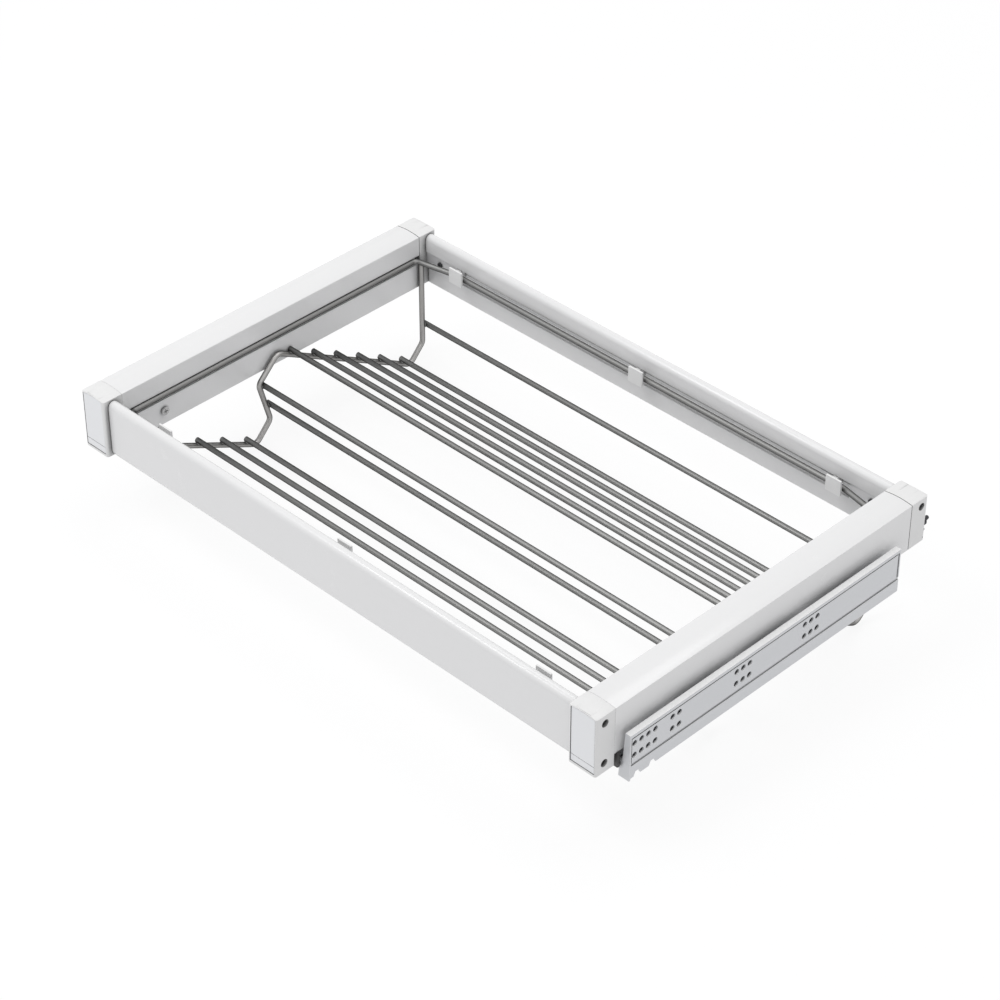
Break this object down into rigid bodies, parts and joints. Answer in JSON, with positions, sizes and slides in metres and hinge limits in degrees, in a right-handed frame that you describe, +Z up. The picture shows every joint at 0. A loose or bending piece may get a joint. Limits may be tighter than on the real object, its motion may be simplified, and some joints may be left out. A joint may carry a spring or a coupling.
{
  "type": "pull-out shoe rack",
  "caption": "Pull-out shoe rack with a white frame, a stepped wire insert and undermount slides for a wardrobe.",
  "frame": {"origin": "centre of the front screw group on the left cabinet member's wall face", "axes": "+X from the left cabinet wall to the right one, +Y to the rear, +Z up; the rack pulls out along -Y"},
  "size_m": [0.74, 0.4752, 0.1566],
  "materials": {
    "white_rail": "glossy white powder coat",
    "white_block": "satin white paint",
    "grey_cap": "satin light grey plastic",
    "white_clip": "glossy white plastic",
    "grey_wire": "grey metallic coat",
    "zinc_steel": "galvanised sheet steel",
    "cabinet_steel": "light grey coated sheet steel",
    "screw_steel": "zinc plated",
    "dark_screw": "black oxide",
    "connector_grey": "matt",
    "dark_plastic": "dark grey moulded plastic",
    "dark_rubber": "dark soft plastic",
    "cage_plastic": "natural nylon"
  },
  "bodies": {
    "cabinet_side": {"left_cabinet_member": "cabinet_steel", "right_cabinet_member": "cabinet_steel"},
    "left_middle": {"left_middle_member": "zinc_steel"},
    "left_lower_run": {"left_lower_cage": "cage_plastic", "left_lower_rollers": "screw_steel"},
    "left_upper_run": {"left_upper_cage": "cage_plastic", "left_upper_rollers": "screw_steel"},
    "left_lever": {"left_release_lever": "dark_plastic"},
    "right_middle": {"right_middle_member": "zinc_steel"},
    "right_lower_run": {"right_lower_cage": "cage_plastic", "right_lower_rollers": "screw_steel"},
    "right_upper_run": {"right_upper_cage": "cage_plastic", "right_upper_rollers": "screw_steel"},
    "right_lever": {"right_release_lever": "dark_plastic"},
    "rack": {"buffer_screws": "dark_screw", "connector_screws": "dark_screw", "coupling_screws": "screw_steel", "cross_rail_screws": "screw_steel", "front_clips": "white_clip", "front_left_cap": "grey_cap", "front_left_connector": "connector_grey", "front_left_corner": "white_block", "front_rail": "white_rail", "front_right_cap": "grey_cap", "front_right_connector": "connector_grey", "front_right_corner": "white_block", "front_shelf_wires": "grey_wire", "left_coupling": "dark_plastic", "left_drawer_member": "zinc_steel", "left_rail": "white_rail", "left_rear_buffer": "dark_rubber", "left_side_wire": "grey_wire", "perimeter_wire": "grey_wire", "rear_clips": "white_clip", "rear_left_connector": "connector_grey", "rear_left_corner": "white_block", "rear_rail": "white_rail", "rear_right_connector": "connector_grey", "rear_right_corner": "white_block", "rear_shelf_wires": "grey_wire", "rear_stop_wire": "grey_wire", "right_coupling": "dark_plastic", "right_drawer_member": "zinc_steel", "right_rail": "white_rail", "right_rear_buffer": "dark_rubber", "right_side_wire": "grey_wire", "side_rail_screws": "screw_steel", "step_wires": "grey_wire"}
  },
  "joints": [
    {"name": "pull_out", "type": "slide", "parent": "cabinet_side", "child": "rack", "axis": [0, -1, 0], "range_m": [0, 0.38]},
    {"name": "left_middle_slide", "type": "slide", "parent": "cabinet_side", "child": "left_middle", "axis": [0, -1, 0], "range_m": [0, 0.19]},
    {"name": "left_lower_run_slide", "type": "slide", "parent": "cabinet_side", "child": "left_lower_run", "axis": [0, -1, 0], "range_m": [0, 0.095]},
    {"name": "left_upper_run_slide", "type": "slide", "parent": "cabinet_side", "child": "left_upper_run", "axis": [0, -1, 0], "range_m": [0, 0.285]},
    {"name": "left_release", "type": "hinge", "parent": "rack", "child": "left_lever", "pos_m": [0.0385, 0.0012, -0.01745], "axis": [0, 0, -1], "range_deg": [0, 12], "stiffness_Nm_per_rad": 0.4},
    {"name": "right_middle_slide", "type": "slide", "parent": "cabinet_side", "child": "right_middle", "axis": [0, -1, 0], "range_m": [0, 0.19]},
    {"name": "right_lower_run_slide", "type": "slide", "parent": "cabinet_side", "child": "right_lower_run", "axis": [0, -1, 0], "range_m": [0, 0.095]},
    {"name": "right_upper_run_slide", "type": "slide", "parent": "cabinet_side", "child": "right_upper_run", "axis": [0, -1, 0], "range_m": [0, 0.285]},
    {"name": "right_release", "type": "hinge", "parent": "rack", "child": "right_lever", "pos_m": [0.7015, 0.0012, -0.01745], "axis": [0, 0, 1], "range_deg": [0, 12], "stiffness_Nm_per_rad": 0.4}
  ],
  "couplings": [
    {"joint": "left_middle_slide", "follows": "pull_out", "ratio": 0.5},
    {"joint": "left_lower_run_slide", "follows": "pull_out", "ratio": 0.25},
    {"joint": "left_upper_run_slide", "follows": "pull_out", "ratio": 0.75},
    {"joint": "right_middle_slide", "follows": "pull_out", "ratio": 0.5},
    {"joint": "right_lower_run_slide", "follows": "pull_out", "ratio": 0.25},
    {"joint": "right_upper_run_slide", "follows": "pull_out", "ratio": 0.75}
  ]
}
